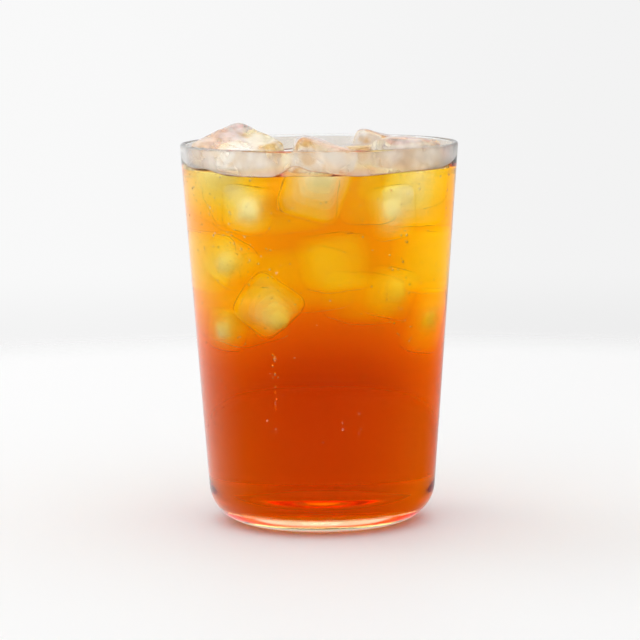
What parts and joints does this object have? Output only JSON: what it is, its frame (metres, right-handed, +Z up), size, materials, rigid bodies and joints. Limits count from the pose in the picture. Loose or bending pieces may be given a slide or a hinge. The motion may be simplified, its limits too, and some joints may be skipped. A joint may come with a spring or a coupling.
{
  "type": "glass of iced tea",
  "caption": "Straight-sided tapering glass tumbler with a round heel, filled nearly to the brim with amber iced tea and rounded ice cubes that stand out of it.",
  "frame": {"origin": "middle of the foot, on the surface that the tumbler stands on", "axes": "+Z up the tumbler's axis, -Y towards the side shown in the picture, +X to the right as seen from there"},
  "size_m": [0.088, 0.088, 0.1271],
  "materials": {
    "glass": "clear, smooth, fire-polished",
    "tea": "clear amber liquid",
    "ice": "clear melting ice with a cloudy core"
  },
  "bodies": {
    "root": {"tumbler": "glass", "tea": "tea", "ice_left": "ice", "ice_front": "ice", "ice_middle": "ice", "ice_right": "ice", "ice_back": "ice", "ice_rear": "ice"}
  },
  "joints": []
}
